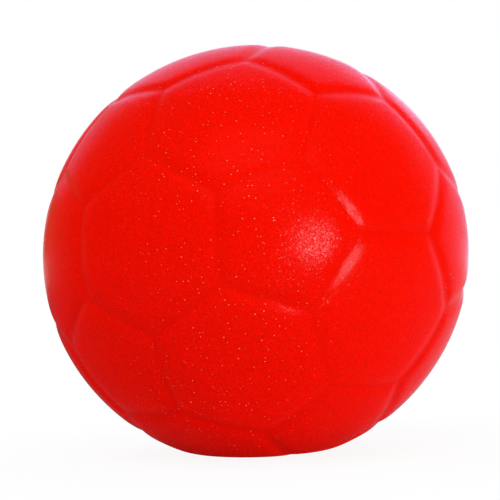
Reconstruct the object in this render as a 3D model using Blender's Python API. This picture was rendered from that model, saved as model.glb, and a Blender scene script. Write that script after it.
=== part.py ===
"""Foam soccer ball: a soft foam core in a tough coated skin of moulded panels, settled on its base.

Metres, +Z up. The origin is the middle of the flat that the ball rests on, and -Y is its front.
"""

import math

import bmesh
import bpy
import numpy as np
from mathutils import Matrix

# The ball and its skin, in metres
BALL_DIAMETER = 0.200
SKIN_THICKNESS = 0.0015
CORE_CLEARANCE = 0.0003

# The groove between two panels: its depth, and how far from the seam its rounded shoulder is steepest
GROOVE_DEPTH = 0.0011
GROOVE_SHOULDER = 0.0026

# How far the soft ball is from round: its longest diameter less its shortest, and the lean in degrees of
# the longest one, from +X towards +Z
OUT_OF_ROUND = 0.0016
LONG_AXIS_LEAN = 37.0

# How the soft ball sits: the height it loses, the flat it stands on and the rounding beside that flat
SAG = 0.0030
REST_FLAT_DIAMETER = 0.041
REST_FLAT_ROUNDING = 0.0030

# The hole that lets the foam breathe, in the pentagon opposite the front one
BREATHER_DIAMETER = 0.003

# How the panel pattern is turned, in degrees: where the front pentagon looks, and its turn in place
FRONT_PANEL_AZIMUTH = 7.1
FRONT_PANEL_ELEVATION = 4.6
FRONT_PANEL_SPIN = 0.5

# Facets: segments along a panel's edge, and rings as shares of the way from its seam to its middle
EDGE_SEGMENTS = 4
OUTER_RINGS = (0.05, 0.13, 0.27, 0.55)
INNER_RINGS = (0.13, 0.45)

# Finishes: colour, roughness and metallic value
SKIN_FINISH = ((0.86, 0.01, 0.005, 1.0), 0.45, 0.0)
FOAM_FINISH = ((0.80, 0.66, 0.42, 1.0), 0.95, 0.0)

# Worked out from the sizes above
BALL_RADIUS = BALL_DIAMETER / 2
SETTLED_RATIO = 1 - SAG / BALL_DIAMETER
FLAT_RISE = (REST_FLAT_DIAMETER / 2) ** 2 * SETTLED_RATIO / BALL_DIAMETER
PRESS_DEPTH = FLAT_RISE + REST_FLAT_ROUNDING
CENTRE_HEIGHT = BALL_RADIUS * SETTLED_RATIO - PRESS_DEPTH


def clear_objects():
    """Start from an empty scene."""
    for old in list(bpy.data.objects):
        bpy.data.objects.remove(old, do_unlink=True)


def pattern_turn():
    """The turn that takes the icosahedron's top corner to the middle of the front pentagon."""
    spin = Matrix.Rotation(math.radians(FRONT_PANEL_SPIN), 4, "Z")
    tip = Matrix.Rotation(math.radians(90 - FRONT_PANEL_ELEVATION), 4, "X")
    swing = Matrix.Rotation(math.radians(FRONT_PANEL_AZIMUTH), 4, "Z")
    return swing @ tip @ spin


def panel_solid():
    """Flat pentagons and hexagons: an icosahedron with a third of each edge cut off at its corners."""
    bm = bmesh.new()
    bmesh.ops.create_icosphere(bm, subdivisions=1, radius=BALL_RADIUS)
    edge = next(iter(bm.edges)).calc_length()
    bmesh.ops.bevel(bm, geom=bm.verts[:], offset=edge / 3, offset_type="OFFSET", segments=1,
                    profile=0.5, affect="VERTICES")
    bm.transform(pattern_turn())
    bm.normal_update()
    return bm


def panel_planes():
    """One row per panel: its unit normal over its distance from the centre."""
    bm = panel_solid()
    planes = [face.normal / face.normal.dot(face.calc_center_median()) for face in bm.faces]
    bm.free()
    return np.array(planes)


def inner_radius(face):
    """Distance from a regular face's middle to its sides."""
    middle = face.calc_center_median()
    side = face.edges[0]
    return ((side.verts[0].co + side.verts[1].co) / 2 - middle).length


def panel_net(rings, breather):
    """The flat panels cut into rings and segments, with the breather's hole left open if asked for."""
    bm = panel_solid()
    back_panel = max((face for face in bm.faces if len(face.verts) == 5),
                     key=lambda face: face.calc_center_median().y)
    along_seam = set(bm.edges)
    for sides in (5, 6):
        panels = [face for face in bm.faces if len(face.verts) == sides]
        reach = inner_radius(panels[0])
        for before, ring in zip((0.0,) + rings, rings):
            bmesh.ops.inset_individual(bm, faces=panels, thickness=(ring - before) * reach, use_even_offset=True)
            for face in panels:
                along_seam.update(face.edges)
    if breather:
        width = inner_radius(back_panel) - BREATHER_DIAMETER / 2
        bmesh.ops.inset_individual(bm, faces=[back_panel], thickness=width, use_even_offset=True)
        along_seam.update(back_panel.edges)
        bmesh.ops.delete(bm, geom=[back_panel], context="FACES_ONLY")
    middles = [face for face in bm.faces if len(face.verts) > 4]
    bmesh.ops.poke(bm, faces=middles)
    bmesh.ops.subdivide_edges(bm, edges=list(along_seam), cuts=EDGE_SEGMENTS - 1,
                              use_grid_fill=True, use_single_edge=True)
    return bm


def seam_distance(directions, planes):
    """Distance over the ball from each direction to its nearest seam."""
    reach = directions @ planes.T
    order = np.argsort(reach, axis=1)
    across = planes[order[:, -1]] - planes[order[:, -2]]
    across /= np.linalg.norm(across, axis=1, keepdims=True)
    sine = np.clip(np.sum(directions * across, axis=1), 0.0, 1.0)
    return BALL_RADIUS * np.arcsin(sine)


def groove(distance):
    """Depth below the round ball: a bell curve, deepest at the seam and dying away up the shoulder."""
    return GROOVE_DEPTH * np.exp(-(distance / GROOVE_SHOULDER) ** 2 / 2)


def swell(directions):
    """How far the ball stands out past its mean radius: most along its long axis, least square to it."""
    lean = math.radians(LONG_AXIS_LEAN)
    along = directions @ np.array((math.cos(lean), 0.0, math.sin(lean)))
    return OUT_OF_ROUND / 4 * (2 * along ** 2 - 1)


def press(height):
    """Height above the ground once the foam has given way: flat, then a short parabola, then free."""
    blend = (height + REST_FLAT_ROUNDING) ** 2 / (4 * REST_FLAT_ROUNDING)
    pressed = np.where(height < REST_FLAT_ROUNDING, blend, height)
    return np.where(height <= -REST_FLAT_ROUNDING, 0.0, pressed)


def settled_points(directions, planes, inset):
    """Points of the settled ball in the given directions, on a surface that lies inset below its outside."""
    radius = BALL_RADIUS + swell(directions) - groove(seam_distance(directions, planes))
    points = directions * (radius - inset)[:, None]
    free_height = CENTRE_HEIGHT + directions[:, 2] * radius * SETTLED_RATIO
    points[:, 2] = press(free_height) - directions[:, 2] * inset * SETTLED_RATIO
    return points


def breather_ring(directions, hole, inset):
    """Set the hole's rim on a circle, so that its wall is straight through the skin."""
    rim = directions[hole]
    axis = rim.mean(axis=0)
    axis /= np.linalg.norm(axis)
    aside = rim - np.outer(rim @ axis, axis)
    aside /= np.linalg.norm(aside, axis=1, keepdims=True)
    angle = math.asin(BREATHER_DIAMETER / 2 / (BALL_RADIUS - inset))
    directions[hole] = math.cos(angle) * axis + math.sin(angle) * aside


def ball_surface(rings, inset, breather):
    """One surface of the ball, as a mesh of triangles that face outwards."""
    bm = panel_net(rings, breather)
    directions = np.array([vert.co.normalized() for vert in bm.verts])
    hole = np.array([vert.is_boundary for vert in bm.verts])
    if breather:
        breather_ring(directions, hole, inset)
    points = settled_points(directions, panel_planes(), inset)
    for vert, point in zip(bm.verts, points):
        vert.co = point
    bmesh.ops.triangulate(bm, faces=bm.faces[:], quad_method="FIXED")
    bmesh.ops.recalc_face_normals(bm, faces=bm.faces[:])
    return bm


def finish_material(name, finish):
    """A plain material with a colour, roughness and metallic value."""
    colour, roughness, metallic = finish
    material = bpy.data.materials.new(name)
    material.use_nodes = True
    shader = material.node_tree.nodes["Principled BSDF"]
    shader.inputs["Base Color"].default_value = colour
    shader.inputs["Roughness"].default_value = roughness
    shader.inputs["Metallic"].default_value = metallic
    return material


def add_piece(name, bm, material):
    """Turn a finished surface into a named object with its material."""
    mesh = bpy.data.meshes.new(name)
    bm.to_mesh(mesh)
    bm.free()
    mesh.shade_smooth()
    mesh.materials.append(material)
    piece = bpy.data.objects.new(name, mesh)
    bpy.context.collection.objects.link(piece)
    return piece


def add_skin():
    """The coat: an outside and an inside surface, joined through the wall of the breather hole."""
    bm = ball_surface(OUTER_RINGS, 0.0, breather=True)
    lining = ball_surface(INNER_RINGS, SKIN_THICKNESS, breather=True)
    bmesh.ops.reverse_faces(lining, faces=lining.faces[:])
    lining_mesh = bpy.data.meshes.new("lining")
    lining.to_mesh(lining_mesh)
    lining.free()
    bm.from_mesh(lining_mesh)
    bpy.data.meshes.remove(lining_mesh)
    rims = [edge for edge in bm.edges if edge.is_boundary]
    bmesh.ops.bridge_loops(bm, edges=rims)
    bmesh.ops.triangulate(bm, faces=bm.faces[:])
    bmesh.ops.recalc_face_normals(bm, faces=bm.faces[:])
    return add_piece("skin", bm, finish_material("red coated skin", SKIN_FINISH))


def add_foam_core():
    """The foam ball that fills the skin, grooved and settled as the skin is."""
    bm = ball_surface(INNER_RINGS, SKIN_THICKNESS + CORE_CLEARANCE, breather=False)
    return add_piece("foam_core", bm, finish_material("cream foam", FOAM_FINISH))


def build_ball():
    """Make the two pieces of the ball."""
    clear_objects()
    for piece in (add_skin(), add_foam_core()):
        low = min(vert.co.z for vert in piece.data.vertices)
        high = max(vert.co.z for vert in piece.data.vertices)
        print(f"{piece.name}: {len(piece.data.polygons)} facets, {low * 1000:.2f} to {high * 1000:.2f} mm high")


build_ball()
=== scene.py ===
# %% [markdown]
# # A foam soccer ball
#
# This lesson dresses a coated foam ball, about 200 mm across. On a bench it comes apart into two pieces:
# a tough red skin with thirty-two moulded panels, and the soft foam inside it. Both are soft, so both
# solids of the frame are replaced by finer surfaces, which are worked out from the same few sizes.

# %% Load the fixed frame
import itertools
import math

import bmesh
import bpy
import numpy as np
from mathutils import Matrix, Vector


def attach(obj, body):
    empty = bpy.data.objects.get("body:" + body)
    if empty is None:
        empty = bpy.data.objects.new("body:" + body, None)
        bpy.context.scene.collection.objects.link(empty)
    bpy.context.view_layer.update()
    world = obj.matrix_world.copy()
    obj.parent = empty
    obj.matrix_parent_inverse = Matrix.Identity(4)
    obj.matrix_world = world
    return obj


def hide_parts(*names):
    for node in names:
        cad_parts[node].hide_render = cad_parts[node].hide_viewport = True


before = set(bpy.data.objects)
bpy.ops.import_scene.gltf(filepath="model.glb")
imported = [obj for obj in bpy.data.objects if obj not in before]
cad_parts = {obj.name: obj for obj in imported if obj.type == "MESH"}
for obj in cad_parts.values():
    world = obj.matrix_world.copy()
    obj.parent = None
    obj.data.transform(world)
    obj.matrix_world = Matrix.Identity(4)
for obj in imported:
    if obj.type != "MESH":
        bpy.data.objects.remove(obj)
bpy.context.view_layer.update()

# %% [markdown]
# ## The panel pattern
#
# A soccer ball's pattern is a truncated icosahedron: an icosahedron whose twelve corners are cut off a
# third of the way along each edge, so that twelve pentagons and twenty hexagons are left. It could be
# drawn by hand on a sphere, but the pattern is exact, so a few lines of arithmetic give every corner. The
# turn puts one pentagon where the photo shows it, a little right of the middle and a little above it.

# %% The corners of the pattern
FRONT_PANEL_AZIMUTH = math.radians(7.1)
FRONT_PANEL_ELEVATION = math.radians(4.6)
FRONT_PANEL_SPIN = math.radians(0.5)
SHORTEST_LENGTH = 1e-12


def unit(vectors):
    """Each vector divided by its own length, which counts as no shorter than the shortest length."""
    return vectors / np.maximum(np.linalg.norm(vectors, axis=-1, keepdims=True), SHORTEST_LENGTH)


def icosahedron():
    """Twelve unit corners: one at each end of an axis, and two rings of five between them.

    The rings lie 1 / sqrt(5) above and below the middle, 2 / sqrt(5) out, and the lower is half a step round.
    """
    around = np.radians(np.arange(5) * 360 / 5)
    upper = np.stack((2 * np.cos(around), 2 * np.sin(around), np.ones(5)), 1) / math.sqrt(5)
    poles = np.array(((0.0, 0.0, 1.0), (0.0, 0.0, -1.0)))
    return np.concatenate((poles, upper, -upper))


def pattern_turn():
    """The turn that takes the top corner to the front, then up and round to its place in the photo."""
    swing = Matrix.Rotation(FRONT_PANEL_AZIMUTH, 3, "Z")
    tip = Matrix.Rotation(math.pi / 2 - FRONT_PANEL_ELEVATION, 3, "X")
    return np.array(swing @ tip @ Matrix.Rotation(FRONT_PANEL_SPIN, 3, "Z"))


corners = icosahedron() @ pattern_turn().T
print("pattern corners:", len(corners), "front pentagon looks along", corners[0].round(3))

# %% [markdown]
# ## Sectors
#
# Each panel is a fan of sectors, one for each of its sides. A sector is a triangle: two ends of a seam and
# the middle of the panel. There are 180 of them, and each one can carry a grid of two parameters, one along
# the seam and one from the seam to the middle. Grid lines that follow the seams keep the grooves crisp with
# few faces, where the grid of a plain sphere would cut across them.

# %% The 180 sectors
# Neighbouring corners of an icosahedron are 63 degrees apart, a cosine of 0.447, and all others over 90
NEIGHBOUR_COSINE = 0.4


def icosahedron_faces(points):
    """The twenty faces as rows of three corners, in order against the clock as seen from outside."""
    triples = np.array(list(itertools.combinations(range(len(points)), 3)))
    touching = points @ points.T > NEIGHBOUR_COSINE
    first, second, third = triples.T
    faces = triples[touching[first, second] & touching[second, third] & touching[first, third]]
    left_handed = np.linalg.det(points[faces]) < 0
    faces[left_handed] = faces[left_handed][:, ::-1]
    return faces


def sectors(points):
    """Start and end of each sector's seam, and the middle of its panel, on the flat panels of the pattern.

    A panel's corner lies a third of the way from one corner of the icosahedron to the next. The middle is
    the panel's direction, scaled to lie in the plane of the panel.
    """
    faces = icosahedron_faces(points)
    turned = np.concatenate((faces, np.roll(faces, -1, axis=1), np.roll(faces, -2, axis=1)))
    one, two, three = (points[column] for column in turned.T)
    near_two = (2 * one + two) / 3
    near_three = (2 * one + three) / 3
    beyond = (2 * two + one) / 3
    face_middle = one + two + three
    start = np.concatenate((near_two, near_three, near_two))
    end = np.concatenate((near_three, near_two, beyond))
    middle = np.concatenate((one, face_middle, face_middle))
    share = np.sum(start * middle, axis=1) / np.sum(middle * middle, axis=1)
    return start, end, middle * share[:, None]


seam_start, seam_end, panel_middle = sectors(corners)
back_panel = np.isclose(unit(panel_middle) @ -corners[0], 1.0)
print("sectors:", len(seam_start), "round the breather hole:", back_panel.sum())

# %% [markdown]
# ## The shape of the ball
#
# The ball is round to within a millimetre or so, because foam is soft. A rounded groove runs along each
# seam, deepest at the seam and dying away up the shoulder of the panel. The photo shows some grooves more
# weakly than others, so their depth changes near four places. The ball's own weight flattens it a little,
# and presses a small flat where it stands. A sculpted mesh could hold all this, but one formula for the
# distance of the surface from the centre lets the skin and the foam below it share the shape.

# %% Sizes of the ball, in metres
BALL_RADIUS = 0.100
SKIN_THICKNESS = 0.0015
CORE_CLEARANCE = 0.0003
BREATHER_RADIUS = 0.0015

# The groove: its depth, and how far from the seam its rounded shoulder is steepest
GROOVE_DEPTH = 0.0011
GROOVE_SHOULDER = 0.0026

# Where the grooves are weaker or stronger: a direction from the centre, how many degrees the change
# spreads, and the change as a share of the depth
GROOVE_CHANGES = (
    ((-0.24, -0.97, -0.05), 17.0, -0.5),
    ((0.31, -0.85, -0.43), 10.0, -0.7),
    ((0.13, -0.96, -0.25), 7.0, 0.38),
    ((-0.50, -0.57, -0.65), 20.0, 0.6),
)

# Out of round: the longest diameter less the shortest, and the lean of the longest from +X towards +Z
OUT_OF_ROUND = 0.0016
LONG_AXIS_LEAN = math.radians(37.0)

# Slow waves in the moulded surface: their height, and for each its phase per radius along x, y and z
UNEVENNESS = 0.00010
WAVES = np.array(((11, 0, 4), (0, 9, -7), (0, 5, 13), (12, -8, 0)))

# How it sits: its height over its width, the flat it stands on and the rounding beside that flat
SETTLED_RATIO = 0.985
REST_FLAT_RADIUS = 0.0205
REST_FLAT_ROUNDING = 0.0030

FLAT_RISE = REST_FLAT_RADIUS ** 2 * SETTLED_RATIO / (2 * BALL_RADIUS)
CENTRE_HEIGHT = BALL_RADIUS * SETTLED_RATIO - FLAT_RISE - REST_FLAT_ROUNDING
BALL_CENTRE = Vector((0.0, 0.0, CENTRE_HEIGHT))
print(f"centre of the ball {CENTRE_HEIGHT * 1000:.1f} mm above the ground")


# %% The formula of the surface
def groove(gap):
    """A bell curve: the depth, times e to the power of minus half the square of the gap over the shoulder."""
    return GROOVE_DEPTH * np.exp(-(gap / GROOVE_SHOULDER) ** 2 / 2)


def groove_share(directions):
    """Share of the depth: one, plus each place's change times a bell curve of the angle to that place."""
    share = np.ones(directions.shape[:-1])
    for place, spread, change in GROOVE_CHANGES:
        angle = np.arccos(np.clip(directions @ unit(np.array(place)), -1.0, 1.0))
        share += change * np.exp(-(angle / math.radians(spread)) ** 2 / 2)
    return share


def swell(directions):
    """A quarter of the difference in diameter, times a factor from minus one to one.

    The factor is twice the squared cosine of the angle to the long axis, less one.
    """
    along = directions @ np.array((math.cos(LONG_AXIS_LEAN), 0.0, math.sin(LONG_AXIS_LEAN)))
    return OUT_OF_ROUND / 4 * (2 * along ** 2 - 1)


def uneven(directions):
    """Slow waves of a tenth of a millimetre, as moulded foam has: the mean of four sines across the ball."""
    return UNEVENNESS * np.sin(directions @ WAVES.T).mean(axis=-1)


def press(height):
    """Height above the ground: zero on the flat, a parabola over twice the rounding, then the free height."""
    blend = (height + REST_FLAT_ROUNDING) ** 2 / (4 * REST_FLAT_ROUNDING)
    pressed = np.where(height < REST_FLAT_ROUNDING, blend, height)
    return np.where(height <= -REST_FLAT_ROUNDING, 0.0, pressed)


def settled_points(directions, gap, inset):
    """Direction times radius less the inset, with its height settled and pressed on the ground.

    The radius is the ball's, plus the swell and the slow waves, less the groove. Heights from the centre are
    lowered by the settled ratio, and the inset is taken off after the outside is pressed.
    """
    radius = BALL_RADIUS + swell(directions) + uneven(directions) - groove(gap) * groove_share(directions)
    points = directions * (radius - inset)[..., None]
    up = directions[..., 2]
    points[..., 2] = press(CENTRE_HEIGHT + up * radius * SETTLED_RATIO) - up * inset * SETTLED_RATIO
    return points


changed_shares = groove_share(unit(np.array([place for place, _, _ in GROOVE_CHANGES])))
print("groove depth at the changed places, in mm:", (GROOVE_DEPTH * 1000 * changed_shares).round(2))

# %% [markdown]
# ## From sectors to a mesh
#
# A grid point starts on the seam and moves towards the middle of the panel. Its rows crowd together near the
# seam, where the groove bends most. In the pentagon on the far side the rows end on the rim of the breather
# hole instead of at the middle, which leaves that hole open. Cutting the hole with a Boolean would work too,
# but it would leave ragged faces round the rim. Neighbouring sectors share their edges, so their doubles are
# merged, and the many points at a panel's middle become one.

# %% A grid on every sector
SEAM_CROWDING = 1.6
MERGE_DISTANCE = 1e-6


def ball_grid(along, across, inset=0.0, hole=0.0):
    """Points and seam gaps on a grid of every sector: u along the seam, v from the seam to the middle.

    The flat point is (1 - v) times the seam's point at u plus v times the middle, or the hole's rim. Seen
    from the centre it gives a direction, and the gap to the seam is the radius times the angle between that
    direction and the plane through the seam and the centre.
    """
    u = np.linspace(0.0, 1.0, along + 1)[:, None]
    v = (np.linspace(0.0, 1.0, across + 1) ** SEAM_CROWDING)[:, None]
    seam = seam_start[:, None] + u * (seam_end - seam_start)[:, None]
    middle = panel_middle[:, None]
    rim = np.linalg.norm(middle, axis=-1, keepdims=True) * math.tan(math.asin(hole / BALL_RADIUS))
    goal = middle + np.where(back_panel[:, None, None], rim, 0.0) * unit(seam - middle)
    directions = unit((1 - v) * seam[:, :, None] + v * goal[:, :, None])
    across_seam = unit(np.cross(seam_start, seam_end))[:, None, None]
    sine = np.sum(directions * across_seam, axis=-1)
    gap = BALL_RADIUS * np.arcsin(np.clip(sine, 0.0, 1.0))
    return settled_points(directions, gap, inset), gap


def grid_mesh(name, points, gap):
    """Four-sided faces over every grid, doubles merged. An attribute keeps the gap to the seam in mm."""
    index = np.arange(gap.size).reshape(gap.shape)
    sides = (index[:, :-1, :-1], index[:, 1:, :-1], index[:, 1:, 1:], index[:, :-1, 1:])
    mesh = bpy.data.meshes.new(name)
    mesh.from_pydata(points.reshape(-1, 3).tolist(), [], np.stack(sides, -1).reshape(-1, 4).tolist())
    mesh.attributes.new("seam_gap_mm", "FLOAT", "POINT").data.foreach_set("value", gap.ravel() * 1000)
    bm = bmesh.new()
    bm.from_mesh(mesh)
    bmesh.ops.remove_doubles(bm, verts=bm.verts[:], dist=MERGE_DISTANCE)
    open_edges = sum(edge.is_boundary for edge in bm.edges)
    bm.to_mesh(mesh)
    bm.free()
    mesh.shade_smooth()
    print(f"{name}: {len(mesh.vertices)} points, {len(mesh.polygons)} faces, {open_edges} open edges")
    return mesh


def add_piece(mesh, node, material):
    """An object at the origin that rides on the frame, stands for a node and takes its finish from a slot."""
    piece = bpy.data.objects.new(mesh.name, mesh)
    bpy.context.scene.collection.objects.link(piece)
    mesh.materials.append(material)
    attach(piece, "root")
    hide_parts(node)
    return piece


# %% [markdown]
# ## Helpers for finishes
#
# A material is a small graph of nodes. One function adds a node, sets its values and links it, so that each
# finish below reads as a short list. Colours are written as on a colour picker, in sRGB, and turned to the
# linear light that the renderer counts in.

# %% Colours and nodes
WHITE = "#FFFFFF"


def linear(code):
    """A hex colour as linear light, by the sRGB curve.

    A share up to 0.04045 is divided by 12.92. Above it, the share plus 0.055, over 1.055, is raised to 2.4.
    """
    srgb = np.array([int(code[place:place + 2], 16) for place in (1, 3, 5)]) / 255
    light = np.where(srgb <= 0.04045, srgb / 12.92, ((srgb + 0.055) / 1.055) ** 2.4)
    return (*light.tolist(), 1.0)


def add_node(tree, kind, settings=None, links=None):
    """Adds a node of a kind to a tree, with its settings and links.

    A setting in small letters is a property of the node, and any other is a socket, by name or number. A
    link gives a socket its source: the other node and that node's output.
    """
    node = tree.nodes.new(kind)
    for key, value in (settings or {}).items():
        if isinstance(key, str) and key.islower():
            setattr(node, key, value)
        else:
            node.inputs[key].default_value = value
    for key, (source, output) in (links or {}).items():
        tree.links.new(source.outputs[output], node.inputs[key])
    return node


def new_material(name):
    """An empty node material and the tree to fill."""
    material = bpy.data.materials.new(name)
    material.use_nodes = True
    material.node_tree.nodes.clear()
    return material, material.node_tree


print("white in linear light:", linear(WHITE))

# %% [markdown]
# ## The skin's finish
#
# The skin is a sprayed polyurethane coat, about as glossy as a rubber glove. Its fine grain is what the eye
# reads as satin: thousands of tiny facets, each turned a little its own way, which break the highlight up
# into a stipple. A bump map could draw the grain, but one facet for each cell of a Voronoi pattern gives
# sharp grains of a steady size. The red also has a shade of its own from patch to patch. A few grains stand
# so steep that they catch some light from afar. A denoiser takes single sparkles out of the gloss, so those
# are painted as pale flecks in the colour: painted glints, which show under any lamp. They gather in broad
# bands across the ball.

# %% Sizes and colours of the coat
# The red of the palest and of the deepest patch, the red at a seam, darker as painted shade in the groove,
# and the flecks
COAT_RED = "#FF0E00"
COAT_RED_DEEP = "#DE0B00"
GROOVE_SHADE_RED = "#EB0C00"
GLINT_FLECK_PINK = "#FFF4F0"

# How far from a seam its painted shade reaches, in mm, as the mesh's attribute has it
GROOVE_SHADE_MM = 2.0

# The width of a patch of one shade and of a grain's facet, in metres. The real grain is probably finer, and
# is drawn as coarse as it needs to show in the render
SHADE_SIZE = 0.00045
GRAIN_SIZE = 0.00021

# The random vector that leans a facet: its length against the normal's, the gain in length of a steep
# grain, and the power that makes steep grains rare
GRAIN_TILT = 0.15
STEEP_GAIN = 3.0
STEEP_POWER = 5.0

# Flecks of painted glint, in metres, and the wide bands in which they gather
FLECK_SPACING = 0.0020
FLECK_RADIUS = 0.0002
FLECK_FAINTEST = 0.1
FLECK_BAND = 0.13
FLECK_BAND_PHASE = 3.7
FLECK_BAND_WAVER = 1.0
FLECK_BAND_DETAIL = 1.0
FLECK_BAND_DETAIL_SCALE = 8.0

# A wave texture of scale 1 repeats after this length, in metres
WAVE_REPEAT = math.pi / 10

COAT_ROUGHNESS = 0.17
COAT_SPECULAR = 0.022
print(f"grain {GRAIN_SIZE * 1000:.2f} mm wide, cells of the flecks {FLECK_SPACING * 1000:.1f} mm wide")


# %% Satin polyurethane coat
def grain_normal(tree, place):
    """The surface's normal plus a short random vector for each grain cell, made a unit vector again.

    The vector is longer by a gain times a power of a random number, so that a few grains stand steep.
    """
    cell = add_node(tree, "ShaderNodeTexVoronoi", {"Scale": 1 / GRAIN_SIZE}, {"Vector": (place, "Object")})
    lean = add_node(tree, "ShaderNodeVectorMath", {"operation": "SUBTRACT", 1: (0.5, 0.5, 0.5)},
                    {0: (cell, "Color")})
    chance = add_node(tree, "ShaderNodeTexWhiteNoise", {}, {"Vector": (cell, "Position")})
    rare = add_node(tree, "ShaderNodeMath", {"operation": "POWER", 1: STEEP_POWER}, {0: (chance, "Value")})
    length = add_node(tree, "ShaderNodeMath",
                      {"operation": "MULTIPLY_ADD", 1: GRAIN_TILT * STEEP_GAIN, 2: GRAIN_TILT},
                      {0: (rare, "Value")})
    surface = add_node(tree, "ShaderNodeNewGeometry")
    leaning = add_node(tree, "ShaderNodeVectorMath", {"operation": "MULTIPLY_ADD"},
                       {0: (lean, "Vector"), 1: (length, "Value"), 2: (surface, "Normal")})
    return add_node(tree, "ShaderNodeVectorMath", {"operation": "NORMALIZE"}, {0: (leaning, "Vector")})


def grain_red(tree, place):
    """A mix of two reds by a random share for each patch, which turns to a darker red at a seam: painted
    shade in the groove.
    """
    patch = add_node(tree, "ShaderNodeTexVoronoi", {"Scale": 1 / SHADE_SIZE}, {"Vector": (place, "Object")})
    red = add_node(tree, "ShaderNodeMix",
                   {"data_type": "RGBA", 6: linear(COAT_RED), 7: linear(COAT_RED_DEEP)},
                   {0: (patch, "Color")})
    gap = add_node(tree, "ShaderNodeAttribute", {"attribute_name": "seam_gap_mm"})
    beyond_painted_groove_shade = add_node(tree, "ShaderNodeMapRange",
                         {"interpolation_type": "SMOOTHSTEP", "From Max": GROOVE_SHADE_MM},
                         {"Value": (gap, "Fac")})
    # Painted shade: the red darkens towards the root of each groove
    return add_node(tree, "ShaderNodeMix", {"data_type": "RGBA", 6: linear(GROOVE_SHADE_RED)},
                    {0: (beyond_painted_groove_shade, "Result"), 7: (red, 2)})


def painted_glint_amount(tree, place):
    """One in the middle of a fleck of painted glint and zero outside it, times the band's strength and a
    random share.

    A fleck shows where the middle of a cell of a wide Voronoi pattern happens to lie in the surface. The
    band is a wavering sine across the ball.
    """
    reach = FLECK_RADIUS / FLECK_SPACING
    cell = add_node(tree, "ShaderNodeTexVoronoi", {"Scale": 1 / FLECK_SPACING}, {"Vector": (place, "Object")})
    glint_spot = add_node(tree, "ShaderNodeMapRange",
                     {"From Min": reach / 2, "From Max": reach, "To Min": 1.0, "To Max": 0.0},
                     {"Value": (cell, "Distance")})
    band = add_node(tree, "ShaderNodeTexWave",
                    {"Scale": WAVE_REPEAT / FLECK_BAND, "Phase Offset": FLECK_BAND_PHASE,
                     "Distortion": FLECK_BAND_WAVER, "Detail": FLECK_BAND_DETAIL,
                     "Detail Scale": FLECK_BAND_DETAIL_SCALE},
                    {"Vector": (place, "Object")})
    strength = add_node(tree, "ShaderNodeMapRange", {"To Min": FLECK_FAINTEST}, {"Value": (band, "Fac")})
    amount = add_node(tree, "ShaderNodeMath", {"operation": "MULTIPLY"},
                      {0: (glint_spot, "Result"), 1: (strength, "Result")})
    return add_node(tree, "ShaderNodeMath", {"operation": "MULTIPLY"},
                    {0: (amount, "Value"), 1: (cell, "Color")})


def satin_polyurethane_coat():
    """Sprayed polyurethane: a deep red whose weak gloss the grain breaks up, so that the eye sees satin."""
    material, tree = new_material("satin polyurethane coat")
    place = add_node(tree, "ShaderNodeTexCoord")
    # The pale flecks mixed into the colour are painted glints
    colour = add_node(tree, "ShaderNodeMix", {"data_type": "RGBA", 7: linear(GLINT_FLECK_PINK)},
                      {0: (painted_glint_amount(tree, place), "Value"), 6: (grain_red(tree, place), 2)})
    shader = add_node(tree, "ShaderNodeBsdfPrincipled",
                      {"Roughness": COAT_ROUGHNESS, "Specular IOR Level": COAT_SPECULAR},
                      {"Base Color": (colour, 2), "Normal": (grain_normal(tree, place), "Vector")})
    add_node(tree, "ShaderNodeOutputMaterial", {}, {"Surface": (shader, "BSDF")})
    return material


# %% [markdown]
# ## The skin
#
# The skin is a shell, 1.5 mm thick. Its outside comes from the grid, and a Solidify modifier offsets it
# inwards for the lining and closes the wall of the breather hole, which saves working out the lining's
# points.

# %% Make the skin
SKIN_ALONG, SKIN_ACROSS = 12, 20

skin_mesh = grid_mesh("grained_skin", *ball_grid(SKIN_ALONG, SKIN_ACROSS, hole=BREATHER_RADIUS))
skin = add_piece(skin_mesh, "skin", satin_polyurethane_coat())
coat = skin.modifiers.new("coat", "SOLIDIFY")
coat.thickness = SKIN_THICKNESS
coat.offset = -1.0
coat.use_even_offset = True

# %% [markdown]
# ## The foam inside
#
# The foam is one piece, cast against the skin, so it has the same grooves. Only the bottom of the breather
# hole shows it. It is a matt cream polyurethane foam with open cells about a millimetre wide. Cutting the
# cells into the mesh would take millions of faces, so a Voronoi pattern draws them as small pits, with
# painted shade darkening each one towards its middle.

# %% Open-cell polyurethane foam
FOAM_CREAM = "#EBDDB8"
# The pits' darker colour is painted shade
FOAM_PIT_SHADE = "#B79C66"
FOAM_CELL = 0.0011
FOAM_PIT_DEPTH = 0.0003
FOAM_ROUGHNESS = 0.95


def open_cell_foam():
    """Cream foam: darker towards the middle of each cell, as painted shade in its pores, and lower there, so
    that the eye sees soft, matt pores.
    """
    material, tree = new_material("open-cell polyurethane foam")
    place = add_node(tree, "ShaderNodeTexCoord")
    cell = add_node(tree, "ShaderNodeTexVoronoi", {"Scale": 1 / FOAM_CELL}, {"Vector": (place, "Object")})
    colour = add_node(tree, "ShaderNodeMix",
                      {"data_type": "RGBA", 6: linear(FOAM_PIT_SHADE), 7: linear(FOAM_CREAM)},
                      {0: (cell, "Distance")})
    pits = add_node(tree, "ShaderNodeBump", {"Distance": FOAM_PIT_DEPTH}, {"Height": (cell, "Distance")})
    shader = add_node(tree, "ShaderNodeBsdfPrincipled", {"Roughness": FOAM_ROUGHNESS},
                      {"Base Color": (colour, 2), "Normal": (pits, "Normal")})
    add_node(tree, "ShaderNodeOutputMaterial", {}, {"Surface": (shader, "BSDF")})
    return material


# %% Make the foam
CORE_ALONG, CORE_ACROSS = 8, 10

core_inset = SKIN_THICKNESS + CORE_CLEARANCE
core_mesh = grid_mesh("cast_foam", *ball_grid(CORE_ALONG, CORE_ACROSS, inset=core_inset))
core = add_piece(core_mesh, "foam_core", open_cell_foam())
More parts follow.
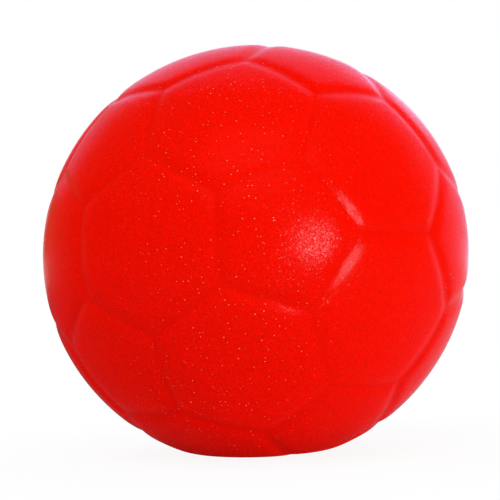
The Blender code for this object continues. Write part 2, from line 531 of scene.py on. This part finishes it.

# %% [markdown]
# ## The studio
#
# The photo shows the ball on plain white. A wide white floor and a white wall behind it give that. Lighting
# them until they turn white would also flood the ball, so their material is simply white to the camera and
# in reflections, and the floor still darkens a little where the ball keeps light from it. Close under the
# ball the floor also glows white to diffuse rays, a painted light on the ball's lowest edge, because that
# edge is bright in the photo. A little higher the ball mirrors something darker than white paper, so a grey
# sheet lies just over the floor, which reflections see and the camera doesn't: a painted reflection of shade.

# %% White paper and a grey sheet of painted reflected shade, sizes in metres
PAPER_WHITE = "#F0F0F0"
SHADE_SHEET_DARK = "#616161"
SHADE_SHEET_PALE = "#D0D0D0"

# How far from the middle the floor takes the ball's shadow, and how much of it
SHADOW_REACH = 0.25
SHADOW_SHARE = 0.09

# Where the glow under the ball starts to fade and where it ends, and its share of white: painted light from
# the floor
CONTACT_REACH = (0.025, 0.065)
CONTACT_GLOW = 0.42

# Where the sheet of painted shade starts to turn pale, towards the right, and where it is palest
SHADE_SHEET_FADE = (-0.12, 0.06)


def white_paper(name, shadow_share, contact_glow):
    """White to camera, glossy and transmitted rays, mixed near the ball with paper that takes its shadow.

    The share of white is one from the shadow's reach outwards, and falls smoothly by the shadow's share
    towards the middle. Diffuse rays get the contact glow, a painted light that brightens the ball's underside
    and fades to nothing over its own reach.
    """
    material, tree = new_material(name)
    ray = add_node(tree, "ShaderNodeLightPath")
    seen = add_node(tree, "ShaderNodeMath", {"operation": "MAXIMUM"},
                    {0: (ray, "Is Camera Ray"), 1: (ray, "Is Glossy Ray")})
    seen = add_node(tree, "ShaderNodeMath", {"operation": "MAXIMUM"},
                    {0: (seen, "Value"), 1: (ray, "Is Transmission Ray")})
    place = add_node(tree, "ShaderNodeTexCoord")
    away = add_node(tree, "ShaderNodeVectorMath", {"operation": "LENGTH"}, {0: (place, "Object")})
    share = add_node(tree, "ShaderNodeMapRange",
                     {"interpolation_type": "SMOOTHSTEP", "From Max": SHADOW_REACH,
                      "To Min": 1 - shadow_share},
                     {"Value": (away, "Value")})
    lit = add_node(tree, "ShaderNodeMath", {"operation": "MULTIPLY"},
                   {0: (seen, "Value"), 1: (share, "Result")})
    near = add_node(tree, "ShaderNodeMapRange",
                    {"From Min": CONTACT_REACH[0], "From Max": CONTACT_REACH[1],
                     "To Min": contact_glow, "To Max": 0.0},
                    {"Value": (away, "Value")})
    # Painted light: near the ball the floor glows for diffuse rays and so lights the ball's underside
    lit = add_node(tree, "ShaderNodeMath", {"operation": "MULTIPLY_ADD"},
                   {0: (ray, "Is Diffuse Ray"), 1: (near, "Result"), 2: (lit, "Value")})
    paper = add_node(tree, "ShaderNodeBsdfDiffuse", {"Color": linear(PAPER_WHITE)})
    glow = add_node(tree, "ShaderNodeEmission", {"Strength": 1.0})
    mix = add_node(tree, "ShaderNodeMixShader", {},
                   {0: (lit, "Value"), 1: (paper, "BSDF"), 2: (glow, "Emission")})
    add_node(tree, "ShaderNodeOutputMaterial", {}, {"Surface": (mix, "Shader")})
    return material


def mirrored_shade_sheet():
    """Painted reflected shade: matt grey, from dark on the left to pale on the right, as the ball's lower
    part mirrors it.
    """
    material, tree = new_material("mirrored shade sheet")
    place = add_node(tree, "ShaderNodeTexCoord")
    sides = add_node(tree, "ShaderNodeSeparateXYZ", {}, {"Vector": (place, "Object")})
    fade = add_node(tree, "ShaderNodeMapRange", {"From Min": SHADE_SHEET_FADE[0], "From Max": SHADE_SHEET_FADE[1]},
                    {"Value": (sides, "X")})
    grey = add_node(tree, "ShaderNodeMix",
                    {"data_type": "RGBA", 6: linear(SHADE_SHEET_DARK), 7: linear(SHADE_SHEET_PALE)},
                    {0: (fade, "Result")})
    matt = add_node(tree, "ShaderNodeBsdfDiffuse", {}, {"Color": (grey, 2)})
    add_node(tree, "ShaderNodeOutputMaterial", {}, {"Surface": (matt, "BSDF")})
    return material


# %% Floor, sheet of painted reflected shade, and wall
# The floor and the sheet of painted shade reach this far from the middle on each side
FLOOR_REACH = 16.0
SHADE_SHEET_REACH = 2.4
SHADE_SHEET_LIFT = 0.0002
WALL_DISTANCE = 2.0
WALL_LEFT, WALL_RIGHT = -0.65, 0.55
WALL_HEIGHT = 0.65


def sheet_mesh(name, corner, side, rise):
    """A flat sheet: the corner plus u times one side plus v times the other, for u and v of 0 and 1."""
    points = np.array((corner, corner + side, corner + side + rise, corner + rise))
    mesh = bpy.data.meshes.new(name)
    mesh.from_pydata(points.tolist(), [], [(0, 1, 2, 3)])
    return mesh


def level_sheet(name, reach, height):
    """A square sheet that lies level, with its middle over the origin and its edges a reach away."""
    return sheet_mesh(name, np.array((-reach, -reach, height)),
                      np.array((2 * reach, 0.0, 0.0)), np.array((0.0, 2 * reach, 0.0)))


def add_stage(mesh, material):
    """A part of the studio, which isn't part of the ball."""
    piece = bpy.data.objects.new(mesh.name, mesh)
    bpy.context.scene.collection.objects.link(piece)
    mesh.materials.append(material)
    return piece


floor = add_stage(level_sheet("pale_floor", FLOOR_REACH, 0.0),
                  white_paper("white floor paper", SHADOW_SHARE, CONTACT_GLOW))
# A grey sheet of painted shade, seen only in reflections on the ball
shade_card = add_stage(level_sheet("mirrored_shade_sheet", SHADE_SHEET_REACH, SHADE_SHEET_LIFT), mirrored_shade_sheet())
shade_card.visible_camera = False
shade_card.visible_diffuse = False
shade_card.visible_transmission = False
shade_card.visible_shadow = False
wall_mesh = sheet_mesh("white_wall", np.array((WALL_RIGHT, WALL_DISTANCE, 0.0)),
                       np.array((WALL_LEFT - WALL_RIGHT, 0.0, 0.0)), np.array((0.0, 0.0, WALL_HEIGHT)))
wall = add_stage(wall_mesh, white_paper("white wall paper", shadow_share=0.0, contact_glow=0.0))
print("studio:", [thing.name for thing in (floor, shade_card, wall)])

# %% [markdown]
# ## Light
#
# Light on a glossy ball does two jobs: soft light shapes the red, and what the gloss mirrors draws the
# highlight and the rims. One lamp could do both, but then neither could be matched to the photo by itself,
# so most lamps here are seen either by diffuse rays or by glossy rays. The highlight says where the key
# gleam stands, to the right of the camera. Bluish gleams and a bluish sky make the upper and right rims
# pink, and in reflections the world is a warm white, which makes the left rim warm.
#
# A lamp's level here is how bright it makes a white card that faces it, so levels that add up to about 1
# show colours as they are written. The power of an area lamp for a level is the level times pi squared
# times the distance squared.


# %% Lamps
def add_lamp(name, direction, distance, size, level, tall=None, colour=WHITE, glossy=True, diffuse=True):
    """A round area lamp that looks at the ball's centre from a direction, with a level as described above."""
    light = bpy.data.lights.new(name, "AREA")
    light.shape = "ELLIPSE"
    light.size = size
    light.size_y = tall or size
    light.energy = level * (math.pi * distance) ** 2
    light.color = linear(colour)[:3]
    lamp = bpy.data.objects.new(name, light)
    bpy.context.scene.collection.objects.link(lamp)
    towards = Vector(direction).normalized()
    lamp.location = BALL_CENTRE + towards * distance
    lamp.rotation_euler = towards.to_track_quat("Z", "Y").to_euler()
    lamp.visible_camera = False
    lamp.visible_glossy = glossy
    lamp.visible_diffuse = diffuse
    return lamp


WINDOW_BLUE = "#B4C4FF"
RIM_BLUE = "#A8BCFF"
SKY_BLUE = "#C4C0FF"

# Two low lamps are strips of this height, so that they stay above the floor
STRIP_HEIGHT = 0.17

add_lamp("key_gleam", (0.505, -0.86, 0.075), distance=1.3, size=0.12, level=1.35, diffuse=False)
add_lamp("right_strip", (0.866, -0.5, 0.0), distance=1.6, size=1.0, level=0.375,
         tall=STRIP_HEIGHT, glossy=False)
add_lamp("front_fill", (0.0, -0.64, 0.77), distance=1.8, size=1.4, level=0.43, glossy=False)
add_lamp("left_fill", (-0.61, -0.35, 0.71), distance=1.8, size=1.4, level=0.25, glossy=False)
add_lamp("left_rim", (-0.64, 0.77, 0.05), distance=1.8, size=1.0, level=0.16,
         tall=STRIP_HEIGHT, glossy=False)
add_lamp("window", (0.77, 0.64, 0.2), distance=1.8, size=1.8, level=0.29, glossy=False)
add_lamp("window_gleam", (0.6, 0.78, 0.17), distance=1.8, size=1.8, level=0.26,
         colour=WINDOW_BLUE, diffuse=False)
add_lamp("left_gleam", (-0.47, 0.80, 0.36), distance=1.8, size=0.7, level=0.03,
         colour=RIM_BLUE, diffuse=False)
add_lamp("sky", (0.1, 0.72, 0.69), distance=1.8, size=2.2, level=0.48, colour=SKY_BLUE)

# %% The world, white by itself and warm in reflections
WORLD_LEVEL = 0.3
ROOM_WARM = "#FFE0A8"

world = bpy.data.worlds.new("studio")
world.use_nodes = True
world_tree = world.node_tree
world_tree.nodes.clear()
ray = add_node(world_tree, "ShaderNodeLightPath")
room = add_node(world_tree, "ShaderNodeMix", {"data_type": "RGBA", 6: linear(WHITE), 7: linear(ROOM_WARM)},
                {0: (ray, "Is Glossy Ray")})
glow = add_node(world_tree, "ShaderNodeBackground", {"Strength": WORLD_LEVEL}, {"Color": (room, 2)})
add_node(world_tree, "ShaderNodeOutputWorld", {}, {"Surface": (glow, "Background")})
bpy.context.scene.world = world
bpy.context.scene.view_settings.view_transform = "Standard"
print("world level:", WORLD_LEVEL)

# %% [markdown]
# ## Camera
#
# The ball's outline and its panels together say where the camera stood: level with the middle of the ball
# and about nine radii away, which asks for a long lens. Two small turns bring the ball to its place in the
# frame, where a shift of the lens would also do. The picture is rolled a little, as the flat under the ball
# shows.

# %% Camera at the photo's angle
IMAGE_WIDTH = 500
FOCAL_PIXELS = 1882
BALL_PIXEL = (255.8, 254.0)
SENSOR_WIDTH = 36.0
CAMERA_DISTANCE = 0.89
CAMERA_ROLL = math.radians(1.8)

camera = bpy.data.objects.new("photo_camera", bpy.data.cameras.new("photo_camera"))
bpy.context.scene.collection.objects.link(camera)
camera.data.sensor_width = SENSOR_WIDTH
camera.data.lens = SENSOR_WIDTH * FOCAL_PIXELS / IMAGE_WIDTH
right = (BALL_PIXEL[0] - IMAGE_WIDTH / 2) / FOCAL_PIXELS
down = (BALL_PIXEL[1] - IMAGE_WIDTH / 2) / FOCAL_PIXELS
level_view = Matrix.Rotation(math.pi / 2, 4, "X")
roll = Matrix.Rotation(CAMERA_ROLL, 4, "Y")
aim = Matrix.Rotation(math.atan(right), 4, "Y") @ Matrix.Rotation(math.atan(down), 4, "X")
stand = Matrix.Translation(BALL_CENTRE - Vector((0.0, CAMERA_DISTANCE, 0.0)))
camera.matrix_world = stand @ roll @ level_view @ aim
bpy.context.scene.camera = camera
print(f"camera: {camera.data.lens:.1f} mm lens, {CAMERA_DISTANCE} m from the middle of the ball")
